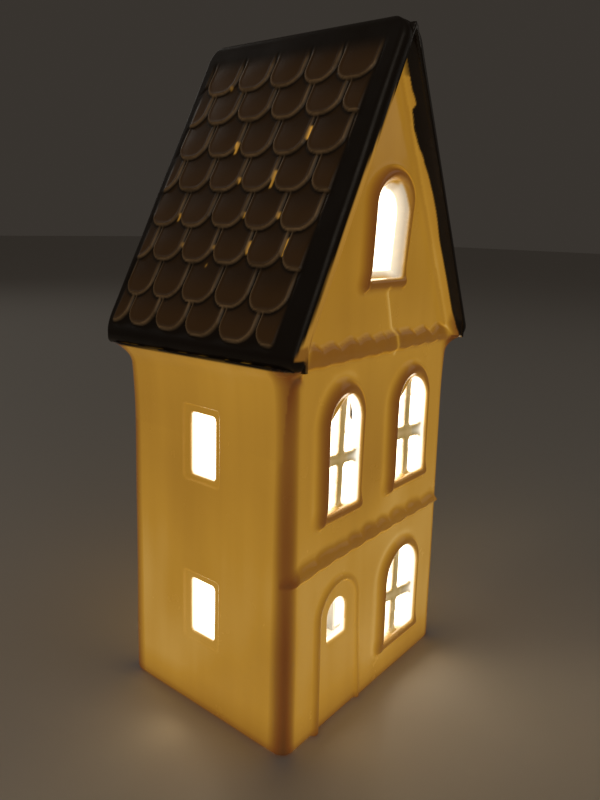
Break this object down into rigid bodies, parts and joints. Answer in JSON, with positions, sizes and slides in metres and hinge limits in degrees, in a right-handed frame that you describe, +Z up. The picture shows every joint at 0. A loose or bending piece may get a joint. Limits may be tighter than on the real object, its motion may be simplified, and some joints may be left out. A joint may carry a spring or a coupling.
{
  "type": "house-shaped porcelain table lamp",
  "caption": "Cast porcelain house with a steep shingle roof and pierced windows, standing over a small steel base with a screw lampholder and a globe bulb.",
  "frame": {"origin": "on the table, under the centre of the roof's plan", "axes": "+Z up to the ridge, the door and gable window face -Y, the roof slopes face -X and +X"},
  "size_m": [0.1156, 0.0948, 0.251],
  "materials": {
    "porcelain": "clear gloss glaze over translucent white porcelain, glowing amber when lit",
    "roof_glaze": "thick near-black brown gloss glaze, thin and brown on raised rims",
    "base_paint": "fine-textured white powder coat",
    "rubber": "matt",
    "zinc_steel": "bright zinc plate",
    "brass": "plain turned brass",
    "holder_plastic": "satin white thermoplastic",
    "block_ceramic": "unglazed steatite",
    "nickel": "nickel plate",
    "black_glass": "black vitrite glass",
    "solder": "dull solder",
    "bulb_glass": "clear blown glass",
    "stem_glass": "clear pressed glass",
    "phosphor": "yellow phosphor rods, lit"
  },
  "bodies": {
    "lamp_base": {"base_plate": "base_paint", "plate_feet": "rubber", "cable_grommet": "rubber", "holder_bracket": "zinc_steel", "bracket_screws": "zinc_steel", "bracket_nuts": "zinc_steel", "nipple": "brass", "nipple_nut": "zinc_steel", "lock_washer": "zinc_steel", "holder_cap": "holder_plastic", "contact_block": "block_ceramic", "centre_contact": "brass", "terminal_screws": "brass", "screw_shell": "brass", "holder_sleeve": "holder_plastic"},
    "house": {"house_walls": "porcelain", "roof": "roof_glaze"},
    "bulb": {"bulb_cap": "nickel", "cap_insulator": "black_glass", "cap_contact": "solder", "bulb_glass": "bulb_glass", "bulb_stem": "stem_glass", "filament_wires": "nickel", "led_filaments": "phosphor"}
  },
  "joints": [
    {"name": "house_lift", "type": "slide", "parent": "lamp_base", "child": "house", "axis": [0, 0, 1], "range_m": [0, 0.135]},
    {"name": "bulb_turn", "type": "hinge", "parent": "lamp_base", "child": "bulb", "pos_m": [0, 0, 0.0677], "axis": [0, 0, 1], "range_deg": [0, 1080]}
  ]
}
